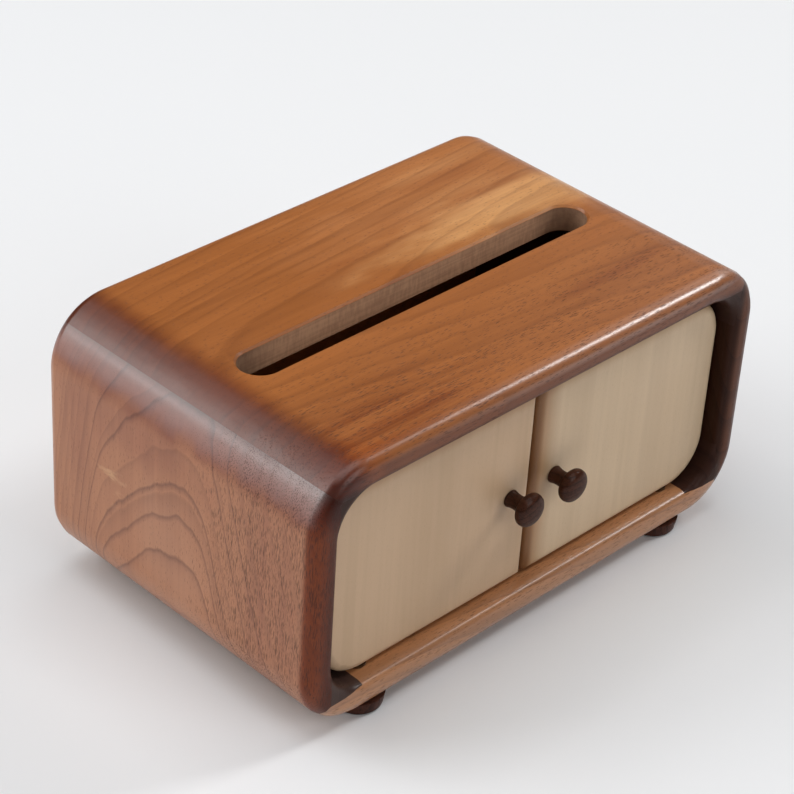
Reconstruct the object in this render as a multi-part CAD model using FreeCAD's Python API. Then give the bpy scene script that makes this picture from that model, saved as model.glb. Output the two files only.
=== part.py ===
"""Tissue box with two doors.

A low walnut case, mitred at its four corners and rounded all over, holds a pack of
facial tissues that is drawn through a long slot in the top.  Two maple doors close the
front.  Each door turns on brass pins let into the top and bottom boards, rests against
a stop batten behind the meeting edges and is held there by a pair of disc magnets.

Millimetres.  X runs along the front, -Y faces the user, +Z is up.  The origin is on the
table, under the middle of everything the box covers, its knobs included.
"""
import FreeCAD
import Part

import math
import os

from FreeCAD import Vector

# Case
case_width = 225.0
case_depth = 140.0
case_height = 107.0
board_thickness = 11.5
corner_radius = 24.0          # outside of the mitred corners
outer_edge_radius = 5.0       # rounding of the front and back rims, outside
inner_edge_radius = 3.5       # rounding of the front rim, inside

# Coved blocks glued into the inner corners
cove_radius = 15.0
block_housing = 1.0           # how deep a block is let into the boards

# Slot that the tissues come through
slot_length = 171.0
slot_width = 16.0
slot_offset = 3.0             # from the middle of the case towards the front
slot_edge_bevel = 0.8

# Back panel, let into a rebate cut from behind
panel_thickness = 5.0
panel_recess = 4.0            # from the rear rim to the panel
rebate_depth = 3.5
rebate_edge_bevel = 1.5
panel_play = 0.2              # all round, inside the rebate

# Doors
door_thickness = 9.0
door_recess = 6.2             # from the front rim to the door's face
door_corner_radius = 18.0
door_face_edge_radius = 3.5   # the soft edge round the outside of a door
door_back_edge_bevel = 0.7
door_side_gap = 0.9
door_meeting_gap = 1.3
door_top_gap = 0.9
door_floor_gap = 0.9

# Pivot pins and the washers that carry the doors
pin_radius = 1.5
pin_inset = 20.0              # from a door's outer edge to its pin
pin_seat_depth = 5.5          # in the case's boards
pin_reach = 8.0               # into the door
pin_running_clearance = 0.05
pin_end_clearance = 0.5
washer_radius = 3.5

# Stop batten and magnets
stop_length = 64.0
stop_depth = 8.0
stop_height = 12.0
stop_edge_bevel = 1.0
magnet_radius = 3.0
magnet_thickness = 3.0
magnet_spacing = 22.0         # between the two doors' magnets

# Knobs
knob_length = 12.6
knob_head_radius = 6.6
knob_stem_radius = 3.1
knob_stem_length = 6.4
knob_back_length = 2.2        # the sloping back of the head
knob_edge_width = 1.6
knob_face_radius = 3.6        # the flat middle inside the sloping front
knob_inset = 10.7             # from a door's meeting edge to its knob
knob_height = -1.4            # above the middle of the door

# Screws that hold the knobs from inside
screw_radius = 1.25
screw_head_radius = 2.6
screw_head_height = 1.5
screw_reach = 7.0             # into the knob
screw_slot_width = 0.7
screw_slot_depth = 0.8

# Feet
foot_radius = 9.8
foot_height = 5.5
foot_side_inset = 33.5        # from the case's end to the middle of a foot
foot_rim_inset = 10.0         # from the front or back rim to the middle of a foot

# Places worked out from the sizes above
knob_overhang = max(knob_length - door_recess, 0.0)
front_y = (knob_overhang - case_depth) / 2.0
back_y = front_y + case_depth
middle_y = (front_y + back_y) / 2.0
bottom_z = foot_height
top_z = bottom_z + case_height
middle_z = (bottom_z + top_z) / 2.0
half_width = case_width / 2.0
half_height = case_height / 2.0
inner_half_width = half_width - board_thickness
inner_half_height = half_height - board_thickness
ceiling_z = middle_z + inner_half_height
floor_z = middle_z - inner_half_height
door_face_y = front_y + door_recess
door_back_y = door_face_y + door_thickness
door_top_z = ceiling_z - door_top_gap
door_bottom_z = floor_z + door_floor_gap
door_outer_x = inner_half_width - door_side_gap
door_inner_x = door_meeting_gap / 2.0
door_middle_z = (door_top_z + door_bottom_z) / 2.0
pin_x = door_outer_x - pin_inset
pin_y = door_face_y + door_thickness / 2.0
knob_x = door_inner_x + knob_inset
knob_z = door_middle_z + knob_height
panel_back_y = back_y - panel_recess
panel_front_y = panel_back_y - panel_thickness
magnet_x = magnet_spacing / 2.0
magnet_z = ceiling_z - stop_height / 2.0
foot_x = half_width - foot_side_inset
front_foot_y = front_y + foot_rim_inset
back_foot_y = back_y - foot_rim_inset

ALONG_Y = Vector(0, 1, 0)
UP = Vector(0, 0, 1)
DOWN = Vector(0, 0, -1)
SMALL = 1e-4
FLATS = 3                     # narrow flats that make up a rounded edge


def point(x, z):
    """A point of an outline drawn in the plane Y = 0."""
    return Vector(x, 0, z)


def prism(edges, y_from, y_to):
    """Solid between two Y planes over a closed outline drawn at Y = 0."""
    face = Part.Face(Part.Wire(edges))
    face.translate(Vector(0, y_from, 0))
    return face.extrude(Vector(0, y_to - y_from, 0))


def arc(centre_x, centre_z, radius, start, end):
    """Arc in a plane of constant Y, from one angle to another in degrees."""
    places = []
    for angle in (start, (start + end) / 2.0, end):
        turn = math.radians(angle)
        places.append(point(centre_x + radius * math.cos(turn), centre_z + radius * math.sin(turn)))
    return Part.Arc(*places).toShape()


def closed_outline(arcs):
    """Join arcs, in order round a shape, with straight edges."""
    edges = []
    for index, piece in enumerate(arcs):
        following = arcs[(index + 1) % len(arcs)]
        edges.append(piece)
        start = piece.Vertexes[-1].Point
        end = following.Vertexes[0].Point
        if start.distanceToPoint(end) > SMALL:
            edges.append(Part.makeLine(start, end))
    return edges


def rounded_outline(half_x, half_z, radius):
    """Rectangle about the case's middle with its four corners rounded."""
    corners = []
    for quarter, (side_x, side_z) in enumerate(((1, 1), (-1, 1), (-1, -1), (1, -1))):
        centre_x = side_x * (half_x - radius)
        centre_z = middle_z + side_z * (half_z - radius)
        first = 90.0 * quarter
        corners.append(arc(centre_x, centre_z, radius, first, first + 90.0))
    return closed_outline(corners)


def cylinder(radius, height, base, direction):
    return Part.makeCylinder(radius, height, base, direction)


def edges_on_plane(solid, axis, level):
    """Edges of a solid that lie wholly in the plane where one coordinate is level."""
    found = []
    for edge in solid.Edges:
        box = edge.BoundBox
        low = getattr(box, axis + "Min")
        high = getattr(box, axis + "Max")
        if abs(low - level) < SMALL and abs(high - level) < SMALL:
            found.append(edge)
    return found


def opening_outline(growth):
    """The coved opening through the case, grown by a margin on every side."""
    return rounded_outline(inner_half_width + growth, inner_half_height + growth, cove_radius + growth)


def rounding(radius):
    """How far in and how far back each line of a rounded edge lies, from its face on."""
    places = []
    for step in range(FLATS + 1):
        turn = math.radians(90.0 * step / FLATS)
        places.append((radius * (1.0 - math.sin(turn)), radius * (1.0 - math.cos(turn))))
    return places


def stacked(outline, places):
    """Solid through a row of outlines, each given by its growth and its Y plane."""
    wires = []
    for growth, level in places:
        wire = Part.Wire(outline(growth))
        wire.translate(Vector(0, level, 0))
        wires.append(wire)
    return Part.makeLoft(wires, True, True)


def case_outline(growth):
    """The outside of the case, grown by a margin on every side."""
    return rounded_outline(half_width + growth, half_height + growth, corner_radius + growth)


def case_shell():
    """The glued-up case before its parts are told apart.

    The corners, the rims, the coves and the rebate are all cut on the whole case.
    """
    outer = rounding(outer_edge_radius)
    front = [(-inset, front_y + setback) for inset, setback in outer]
    back = [(-inset, back_y - setback) for inset, setback in reversed(outer)]
    shell = stacked(case_outline, front + back)
    inner = [(inset, front_y + setback) for inset, setback in rounding(inner_edge_radius)]
    shell = shell.cut(stacked(opening_outline, inner + [(0.0, back_y)]))
    rebate = [(rebate_depth, panel_front_y), (rebate_depth, back_y - rebate_edge_bevel),
              (rebate_depth + rebate_edge_bevel, back_y)]
    return shell.cut(stacked(opening_outline, rebate))


def mitred_region(side_x, side_z):
    """Space between the opening and the outside on one side, bounded by the mitres."""
    margin = board_thickness
    outer_x = half_width + margin
    outer_z = half_height + margin
    if side_z:
        corners = ((-outer_x, outer_z), (outer_x, outer_z),
                   (inner_half_width, inner_half_height), (-inner_half_width, inner_half_height))
        places = [point(x, middle_z + side_z * z) for x, z in corners]
    else:
        corners = ((outer_x, -outer_z), (outer_x, outer_z),
                   (inner_half_width, inner_half_height), (inner_half_width, -inner_half_height))
        places = [point(side_x * x, middle_z + z) for x, z in corners]
    edges = Part.makePolygon(places + places[:1]).Edges
    return prism(edges, front_y, back_y)


def corner_region(side_x, side_z):
    """Space of a corner block: from its cove's ends into the housings in two boards."""
    size = cove_radius + block_housing
    near_x = inner_half_width - cove_radius
    near_z = inner_half_height - cove_radius
    corner_x = min(side_x * near_x, side_x * (near_x + size))
    corner_z = middle_z + min(side_z * near_z, side_z * (near_z + size))
    return Part.makeBox(size, case_depth, size, Vector(corner_x, front_y, corner_z))


def board(shell, side_x, side_z):
    """A board of the case, housed for the corner blocks at both of its ends."""
    blank = shell.common(mitred_region(side_x, side_z))
    for across in (-1, 1):
        blank = blank.cut(corner_region(side_x or across, side_z or across))
    return only_solid(blank)


def only_solid(shape):
    """The single solid that a cut or an intersection leaves."""
    shape = shape.removeSplitter()
    if len(shape.Solids) != 1:
        raise ValueError("expected one solid, found %d" % len(shape.Solids))
    return shape.Solids[0]


def slot_outline(growth):
    """Outline of the slot, grown by a margin: a long rectangle with round ends."""
    end = slot_width / 2.0 + growth
    run = (slot_length - slot_width) / 2.0
    slot_y = middle_y - slot_offset
    corners = [Vector(x, slot_y + y, 0) for x, y in ((-run, end), (run, end), (run, -end), (-run, -end))]
    right = Part.Arc(corners[1], Vector(run + end, slot_y, 0), corners[2]).toShape()
    left = Part.Arc(corners[3], Vector(-run - end, slot_y, 0), corners[0]).toShape()
    return Part.Wire([Part.makeLine(corners[0], corners[1]), right,
                      Part.makeLine(corners[2], corners[3]), left])


def slot_relief(level, inward):
    """Plug that bevels the slot's edge on one face of the top board."""
    reach = inward * slot_edge_bevel
    face = Part.Face(slot_outline(slot_edge_bevel))
    face.translate(Vector(0, 0, level - reach))
    plug = face.extrude(Vector(0, 0, 2.0 * reach))
    return plug.makeChamfer(slot_edge_bevel, edges_on_plane(plug, "Z", level + reach))


def slot_cutter():
    """The slot through the top board, with bevelled edges above and below."""
    face = Part.Face(slot_outline(0.0))
    face.translate(Vector(0, 0, ceiling_z))
    cutter = face.extrude(Vector(0, 0, board_thickness))
    return cutter.fuse(slot_relief(top_z, -1)).fuse(slot_relief(ceiling_z, 1))


def top_board(shell):
    top = board(shell, 0, 1).cut(slot_cutter())
    for side in (-1, 1):
        top = top.cut(cylinder(pin_radius, pin_seat_depth, Vector(side * pin_x, pin_y, ceiling_z), UP))
    return only_solid(top)


def bottom_board(shell):
    bottom = board(shell, 0, -1)
    for side in (-1, 1):
        bottom = bottom.cut(cylinder(pin_radius, pin_seat_depth, Vector(side * pin_x, pin_y, floor_z), DOWN))
    return only_solid(bottom)


def corner_block(shell, side_x, side_z):
    return only_solid(shell.common(corner_region(side_x, side_z)))


def back_panel():
    return prism(opening_outline(rebate_depth - panel_play), panel_front_y, panel_back_y)


def door_outline(growth):
    """Outline of the right door: rounded at its outer end, square at the meeting edge."""
    radius = door_corner_radius + growth
    centre_x = door_outer_x - door_corner_radius
    upper = arc(centre_x, door_top_z - door_corner_radius, radius, 90.0, 0.0)
    lower = arc(centre_x, door_bottom_z + door_corner_radius, radius, 0.0, -90.0)
    top_inner = point(door_inner_x - growth, door_top_z + growth)
    bottom_inner = point(door_inner_x - growth, door_bottom_z - growth)
    return [
        Part.makeLine(top_inner, upper.Vertexes[0].Point),
        upper,
        Part.makeLine(upper.Vertexes[-1].Point, lower.Vertexes[0].Point),
        lower,
        Part.makeLine(lower.Vertexes[-1].Point, bottom_inner),
        Part.makeLine(bottom_inner, top_inner),
    ]


def door(side):
    """Door with its pin holes, magnet pocket and countersunk screw hole."""
    face_edge = rounding(door_face_edge_radius)
    places = [(-inset, door_face_y + setback) for inset, setback in face_edge]
    places += [(0.0, door_back_y - door_back_edge_bevel), (-door_back_edge_bevel, door_back_y)]
    panel = stacked(door_outline, places)
    hole_radius = pin_radius + pin_running_clearance
    hole_depth = pin_reach + pin_end_clearance
    upper = cylinder(hole_radius, hole_depth, Vector(pin_x, pin_y, door_top_z), DOWN)
    lower = cylinder(hole_radius, hole_depth, Vector(pin_x, pin_y, door_bottom_z), UP)
    pocket_y = door_back_y - magnet_thickness
    pocket = cylinder(magnet_radius, magnet_thickness, Vector(magnet_x, pocket_y, magnet_z), ALONG_Y)
    for cutter in (upper, lower, pocket, screw_shank(1, door_back_y), screw_head(1)):
        panel = panel.cut(cutter)
    if side < 0:
        panel = panel.mirror(Vector(0, 0, 0), Vector(1, 0, 0))
    return only_solid(panel)


def screw_head(side):
    """Countersunk head, flush with the inside of the door."""
    base = Vector(side * knob_x, door_back_y - screw_head_height, knob_z)
    return Part.makeCone(screw_radius, screw_head_radius, screw_head_height, base, ALONG_Y)


def screw_shank(side, end_y):
    """Straight part of a knob's screw, from its end in the knob to a given depth."""
    start_y = door_face_y - screw_reach
    return cylinder(screw_radius, end_y - start_y, Vector(side * knob_x, start_y, knob_z), ALONG_Y)


def knob_screw(side):
    screw = screw_shank(side, door_back_y).fuse(screw_head(side))
    corner = Vector(side * knob_x - screw_head_radius, door_back_y - screw_slot_depth,
                    knob_z - screw_slot_width / 2.0)
    slot = Part.makeBox(2.0 * screw_head_radius, screw_slot_depth, screw_slot_width, corner)
    return only_solid(screw.cut(slot))


def knob(side):
    """Turned knob: a straight stem under a mushroom head with a flat middle."""
    shoulder = knob_stem_length + knob_back_length
    outline = [
        (0.0, 0.0),
        (knob_stem_radius, 0.0),
        (knob_stem_radius, knob_stem_length),
        (knob_head_radius, shoulder),
        (knob_head_radius, shoulder + knob_edge_width),
        (knob_face_radius, knob_length),
        (0.0, knob_length),
        (0.0, 0.0),
    ]
    section = Part.Face(Part.makePolygon([Vector(radius, 0, along) for radius, along in outline]))
    turned = section.revolve(Vector(0, 0, 0), UP, 360)
    turned.rotate(Vector(0, 0, 0), Vector(1, 0, 0), 90)
    turned.translate(Vector(side * knob_x, door_face_y, knob_z))
    return only_solid(turned.cut(screw_shank(side, door_face_y)))


def pivot_pin(side, level, into_board):
    """Brass pin seated in a board and reaching into the door through the gap."""
    gap = door_top_gap if into_board == UP else door_floor_gap
    seat = Vector(into_board)
    seat.multiply(pin_seat_depth)
    start = Vector(side * pin_x, pin_y, level).add(seat)
    return cylinder(pin_radius, pin_seat_depth + gap + pin_reach, start, into_board.negative())


def pivot_washer(side):
    base = Vector(side * pin_x, pin_y, floor_z)
    ring = cylinder(washer_radius, door_floor_gap, base, UP)
    hole = cylinder(pin_radius + pin_running_clearance, door_floor_gap, base, UP)
    return only_solid(ring.cut(hole))


def door_stop():
    """Batten under the top board that both doors close against."""
    corner = Vector(-stop_length / 2.0, door_back_y, ceiling_z - stop_height)
    batten = Part.makeBox(stop_length, stop_depth, stop_height, corner)
    batten = batten.makeChamfer(stop_edge_bevel, edges_on_plane(batten, "Z", ceiling_z - stop_height))
    for side in (-1, 1):
        batten = batten.cut(cylinder(magnet_radius, magnet_thickness,
                                     Vector(side * magnet_x, door_back_y, magnet_z), ALONG_Y))
    return only_solid(batten)


def magnet(side, start_y):
    return cylinder(magnet_radius, magnet_thickness, Vector(side * magnet_x, start_y, magnet_z), ALONG_Y)


def foot(side, foot_y):
    """Turned disc glued to the underside of the bottom board."""
    return cylinder(foot_radius, foot_height, Vector(side * foot_x, foot_y, 0), UP)


def build():
    """Every piece of the box by name."""
    shell = case_shell()
    pieces = {
        "top_board": top_board(shell),
        "bottom_board": bottom_board(shell),
        "back_panel": back_panel(),
        "door_stop": door_stop(),
    }
    for side, hand in ((-1, "left"), (1, "right")):
        pieces[hand + "_side"] = board(shell, side, 0)
        for side_z, level in ((1, "top"), (-1, "bottom")):
            pieces["corner_block_%s_%s" % (level, hand)] = corner_block(shell, side, side_z)
        pieces[hand + "_door"] = door(side)
        pieces[hand + "_knob"] = knob(side)
        pieces[hand + "_knob_screw"] = knob_screw(side)
        pieces[hand + "_upper_pivot_pin"] = pivot_pin(side, ceiling_z, UP)
        pieces[hand + "_lower_pivot_pin"] = pivot_pin(side, floor_z, DOWN)
        pieces[hand + "_pivot_washer"] = pivot_washer(side)
        pieces[hand + "_stop_magnet"] = magnet(side, door_back_y)
        pieces[hand + "_door_magnet"] = magnet(side, door_back_y - magnet_thickness)
        pieces["front_%s_foot" % hand] = foot(side, front_foot_y)
        pieces["back_%s_foot" % hand] = foot(side, back_foot_y)
    return pieces


def main():
    os.makedirs("parts", exist_ok=True)
    for name, shape in build().items():
        if not shape.isValid():
            raise ValueError(name + " is not a valid solid")
        shape.exportStep("parts/%s.step" % name)
        print("%-26s %9.1f mm3 %3d faces" % (name, shape.Volume, len(shape.Faces)))


main()
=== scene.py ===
"""Walnut tissue box on turned feet, its front closed by two maple doors.

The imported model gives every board, door and fitting its shape and place.  This script gives
them their finishes, turns the knobs and feet afresh, and stands the box on a pale floor under
soft light.  Lengths in the classes are millimetres; meshes are in metres.
"""

import logging
import math
from collections.abc import Iterable, Sequence
from dataclasses import dataclass, replace
from enum import Enum
from functools import cached_property

import bmesh
import bpy
from mathutils import Matrix, Vector


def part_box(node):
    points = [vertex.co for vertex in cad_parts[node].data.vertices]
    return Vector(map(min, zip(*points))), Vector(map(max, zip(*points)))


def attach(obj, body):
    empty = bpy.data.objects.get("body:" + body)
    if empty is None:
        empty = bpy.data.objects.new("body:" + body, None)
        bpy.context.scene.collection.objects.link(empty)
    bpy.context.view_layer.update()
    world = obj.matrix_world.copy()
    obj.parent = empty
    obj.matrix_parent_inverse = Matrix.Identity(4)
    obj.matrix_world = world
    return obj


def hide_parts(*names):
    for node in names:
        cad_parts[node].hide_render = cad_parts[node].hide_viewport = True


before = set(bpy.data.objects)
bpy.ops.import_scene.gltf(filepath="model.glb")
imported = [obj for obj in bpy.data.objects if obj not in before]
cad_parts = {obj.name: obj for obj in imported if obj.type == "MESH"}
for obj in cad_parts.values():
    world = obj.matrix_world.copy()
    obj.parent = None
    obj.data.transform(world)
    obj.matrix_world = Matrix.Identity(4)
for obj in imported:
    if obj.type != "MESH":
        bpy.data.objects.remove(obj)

LOG = logging.getLogger("tissue_box")
MM = 0.001
MM_IN_METRE = (1000.0, 1000.0, 1000.0)
NUMBER = "NodeSocketFloat"
VECTOR = "NodeSocketVector"
COLOUR = "NodeSocketColor"
Colour = tuple[float, float, float]
Triple = tuple[float, float, float]
Socket = bpy.types.NodeSocket
Sockets = bpy.types.NodeOutputs
Results = dict[str, Socket]
BOARD = ("Board", VECTOR, None)
PLACE = ("Place", VECTOR, None)


# ---- Shader graphs ----


class Graph:
    """Short calls that add nodes to one node tree and join them."""

    def __init__(self, tree: bpy.types.NodeTree) -> None:
        """Keep the tree that the nodes go into."""
        self.tree = tree

    def feed(self, socket: Socket, value: object) -> None:
        """Join a socket to another one, or set it to a constant.

        Args:
            socket: the input to fill.
            value: an output socket, a number, or a sequence of numbers.
        """
        if isinstance(value, bpy.types.NodeSocket):
            self.tree.links.new(value, socket)
        elif isinstance(value, (tuple, list)) and len(value) == 3 and socket.type == "RGBA":
            socket.default_value = (*value, 1.0)
        else:
            socket.default_value = value

    def node(self, kind: str, inputs: dict | None = None, **settings: object) -> bpy.types.Node:
        """Add one node.

        Args:
            kind: the node's type name.
            inputs: values for its inputs, by name or by number.
            settings: attributes of the node itself.

        Returns:
            The new node.
        """
        made = self.tree.nodes.new(kind)
        for name, value in settings.items():
            setattr(made, name, value)
        for name, value in (inputs or {}).items():
            self.feed(made.inputs[name], value)
        return made

    def math(self, operation: str, *values: object, clamp: bool = False) -> Socket:
        """Return the result of a Math node; a clamped one stays between 0 and 1."""
        made = self.node("ShaderNodeMath", dict(enumerate(values)), operation=operation)
        made.use_clamp = clamp
        return made.outputs[0]

    def times(self, first: object, second: object, clamp: bool = False) -> Socket:
        """Return the product of two numbers."""
        return self.math("MULTIPLY", first, second, clamp=clamp)

    def plus(self, first: object, second: object, clamp: bool = False) -> Socket:
        """Return the sum of two numbers."""
        return self.math("ADD", first, second, clamp=clamp)

    def minus(self, first: object, second: object) -> Socket:
        """Return the first number less the second."""
        return self.math("SUBTRACT", first, second)

    def vector(self, operation: str, *values: object) -> Socket:
        """Return the result of a Vector Math node, which is a number for LENGTH and DOT_PRODUCT."""
        made = self.node("ShaderNodeVectorMath", dict(enumerate(values)), operation=operation)
        return made.outputs["Value" if operation in ("LENGTH", "DOT_PRODUCT") else "Vector"]

    def split(self, vector: Socket) -> Sockets:
        """Return the X, Y and Z outputs of a vector."""
        return self.node("ShaderNodeSeparateXYZ", {0: vector}).outputs

    def join(self, x: Socket, y: Socket, z: Socket) -> Socket:
        """Return the vector that three numbers make."""
        return self.node("ShaderNodeCombineXYZ", {"X": x, "Y": y, "Z": z}).outputs[0]

    def remap(self, value: Socket, low: object, high: object, to_low: float = 0.0,
              to_high: float = 1.0, smooth: bool = True) -> Socket:
        """Carry a range onto another and hold the ends.

        Args:
            value: the number to carry.
            low: where the first range starts.
            high: where it ends.
            to_low: the result at low.
            to_high: the result at high.
            smooth: whether the run between is eased.

        Returns:
            The carried number.
        """
        made = self.node("ShaderNodeMapRange", {"Value": value, "From Min": low, "From Max": high,
                                                "To Min": to_low, "To Max": to_high})
        made.interpolation_type = "SMOOTHSTEP" if smooth else "LINEAR"
        return made.outputs["Result"]

    def noise(self, vector: Socket, scale: float = 1.0, detail: float = 2.0,
              roughness: float = 0.5) -> Socket:
        """Return soft random values about a half; roughness is the strength of the finer layers."""
        made = self.node("ShaderNodeTexNoise", {"Vector": vector, "Scale": scale, "Detail": detail,
                                                "Roughness": roughness}, noise_dimensions="3D")
        return made.outputs["Fac"]

    def grained(self, board: Socket, across: float, along: float, detail: float = 2.0) -> Socket:
        """Return soft random values with bumps of so many millimetres across and along the grain."""
        return self.noise(self.vector("MULTIPLY", board, (1 / across, 1 / across, 1 / along)), detail=detail)

    def counted(self, place: Socket, width: Socket, length: Socket) -> Socket:
        """Return a place counted in widths across and in lengths along."""
        return self.vector("DIVIDE", place, self.join(width, width, length))

    def mix(self, factor: object, first: object, second: object, blend: str = "MIX") -> Socket:
        """Return two colours mixed: the first at a factor of 0, the second laid over it at 1."""
        made = self.node("ShaderNodeMix", data_type="RGBA", blend_type=blend)
        for place, value in ((0, factor), (6, first), (7, second)):
            self.feed(made.inputs[place], value)
        return made.outputs[2]

    def tint(self, factor: object, colour: Socket, tint: Colour) -> Socket:
        """Return the colour with a see-through tint laid over it, as strongly as the factor says."""
        return self.mix(factor, colour, self.mix(1.0, colour, tint, "MULTIPLY"))


class Effect:
    """One shader node group that several finishes share, built the first time it is asked for."""

    title = "effect"
    takes: tuple[tuple[str, str, object], ...] = ()
    gives: tuple[tuple[str, str], ...] = (("Mask", NUMBER),)

    @classmethod
    def tree(cls) -> bpy.types.NodeTree:
        """Return the group, building it when it isn't there yet."""
        made = bpy.data.node_groups.get(cls.title)
        if made is not None:
            return made
        made = bpy.data.node_groups.new(cls.title, "ShaderNodeTree")
        for name, kind, value in cls.takes:
            socket = made.interface.new_socket(name, in_out="INPUT", socket_type=kind)
            if value is not None:
                socket.default_value = value
        for name, kind in cls.gives:
            made.interface.new_socket(name, in_out="OUTPUT", socket_type=kind)
        graph = Graph(made)
        results = cls.build(graph, graph.node("NodeGroupInput").outputs)
        sink = graph.node("NodeGroupOutput")
        for name, value in results.items():
            graph.feed(sink.inputs[name], value)
        return made

    @classmethod
    def build(cls, graph: Graph, source: Sockets) -> Results:
        """Make the group's nodes.

        Args:
            graph: the group's own graph.
            source: the group's inputs.

        Returns:
            A socket for each output by name.
        """
        raise NotImplementedError

    @classmethod
    def place(cls, graph: Graph, **inputs: object) -> Sockets:
        """Put the group into a material.

        Args:
            graph: the material's graph.
            inputs: values by input name, with _ for a space.

        Returns:
            The group's outputs.
        """
        made = graph.node("ShaderNodeGroup")
        made.node_tree = cls.tree()
        for name, value in inputs.items():
            graph.feed(made.inputs[name.replace("_", " ")], value)
        return made.outputs


class LogCut(Effect):
    """How far a point of a board lies from the leaning middle of its log, in millimetres."""

    title = "log_cut"
    takes = (BOARD, ("Pith", VECTOR, (0.0, 0.0, 0.0)), ("Rise", NUMBER, 0.2))
    gives = (("Ring", NUMBER),)

    @classmethod
    def build(cls, graph: Graph, source: Sockets) -> Results:
        """Make the distance; see Effect.build."""
        away = graph.vector("SUBTRACT", source["Board"], source["Pith"])
        across = graph.vector("LENGTH", graph.vector("MULTIPLY", away, (1.0, 1.0, 0.0)))
        lean = graph.times(graph.split(source["Board"])["Z"], source["Rise"])
        return {"Ring": graph.plus(across, lean)}


class ArchCut(Effect):
    """Blunt arches of a flat-sawn face, with one leg steeper than the other, in millimetres."""

    title = "arch_cut"
    takes = (BOARD, ("Crown", NUMBER, 0.0), ("Half Width", NUMBER, 15.0),
             ("Near Slope", NUMBER, 3.2), ("Far Slope", NUMBER, 1.25), ("Bend", NUMBER, 8.0),
             ("Knee", NUMBER, 999.0), ("Knee Slope", NUMBER, 0.0))
    gives = (("Ring", NUMBER),)

    @classmethod
    def build(cls, graph: Graph, source: Sockets) -> Results:
        """Make the height of the arch that passes through each point; see Effect.build."""
        parts = graph.split(source["Board"])
        aside = graph.minus(parts["Y"], source["Crown"])
        legs = []
        for away, start, slope in ((aside, "Half Width", "Far Slope"),
                                   (graph.times(aside, -1.0), "Half Width", "Near Slope"),
                                   (aside, "Knee", "Knee Slope")):
            run = graph.math("SMOOTH_MAX", graph.minus(away, source[start]), 0.0, source["Bend"])
            legs.append(graph.times(run, source[slope]))
        far, near, beyond = legs
        return {"Ring": graph.plus(parts["Z"], graph.plus(graph.plus(far, near), beyond))}


class Wander(Effect):
    """Slow drift of the grain, so that no line runs true."""

    title = "wander"
    takes = (BOARD, ("Amount", NUMBER, 4.0))
    gives = (("Shift", NUMBER),)
    broad_share = 4.0
    close_share = 1.6

    @classmethod
    def build(cls, graph: Graph, source: Sockets) -> Results:
        """Make the drift; see Effect.build."""
        broad = graph.grained(source["Board"], 24, 85, detail=1.0)
        close = graph.grained(source["Board"], 8, 26)
        drift = graph.plus(graph.times(graph.minus(broad, 0.5), cls.broad_share),
                           graph.times(graph.minus(close, 0.5), cls.close_share))
        return {"Shift": graph.times(drift, source["Amount"])}


class GrowthRings(Effect):
    """Unevenly spaced growth rings: each darkens slowly and ends in a thin late line."""

    title = "growth_rings"
    takes = (("Ring", NUMBER, 0.0), BOARD, ("Spacing", NUMBER, 8.0), ("Sharpness", NUMBER, 5.0))
    gives = (("Late", NUMBER), ("Phase", NUMBER), ("Tone", NUMBER))
    unevenness = 1.6
    late_end = 0.93

    @classmethod
    def build(cls, graph: Graph, source: Sockets) -> Results:
        """Make the late line, the place within a ring and the slow tone; see Effect.build."""
        turns = graph.math("DIVIDE", source["Ring"], source["Spacing"])
        uneven = graph.node("ShaderNodeTexNoise", {"W": graph.times(turns, 0.7), "Scale": 1.0,
                                                   "Detail": 2.0}, noise_dimensions="1D").outputs["Fac"]
        phase = graph.math("FRACT", graph.plus(turns, graph.times(uneven, cls.unevenness)))
        late = graph.times(graph.math("POWER", phase, source["Sharpness"]),
                           graph.remap(phase, cls.late_end, 1.0, 1.0, 0.0))
        tone = graph.grained(source["Board"], 30, 120, detail=3.0)
        return {"Late": graph.times(late, 1.5, clamp=True), "Phase": phase,
                "Tone": graph.remap(tone, 0.3, 0.7, smooth=False)}


class GrowthLine(Effect):
    """One dark growth line: crisp on its outer side, fading on its inner side."""

    title = "growth_line"
    takes = (("Ring", NUMBER, 0.0), ("At", NUMBER, 0.0), ("Width", NUMBER, 1.5))
    inner_reach = -2.6
    outer_reach = 0.7

    @classmethod
    def build(cls, graph: Graph, source: Sockets) -> Results:
        """Make the line's mask; see Effect.build."""
        away = graph.math("DIVIDE", graph.minus(source["Ring"], source["At"]), source["Width"])
        inner = graph.math("POWER", graph.remap(away, cls.inner_reach, 0.0, smooth=False), 3.0)
        return {"Mask": graph.times(inner, graph.remap(away, 0.0, cls.outer_reach, 1.0, 0.0))}


class Fibres(Effect):
    """Fine streaks that run with the grain, and their relief."""

    title = "fibres"
    takes = (BOARD, ("Width", NUMBER, 0.5), ("Length", NUMBER, 30.0))
    gives = (("Streak", NUMBER), ("Height", NUMBER))
    fine_share = 0.45
    wide_share = 0.55

    @classmethod
    def build(cls, graph: Graph, source: Sockets) -> Results:
        """Make the streak and height values; see Effect.build."""
        place = graph.counted(source["Board"], source["Width"], source["Length"])
        fine = graph.noise(place, roughness=0.6)
        wide = graph.noise(place, scale=0.22)
        both = graph.plus(graph.times(fine, cls.fine_share), graph.times(wide, cls.wide_share))
        return {"Streak": graph.remap(both, 0.36, 0.64), "Height": fine}


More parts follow.
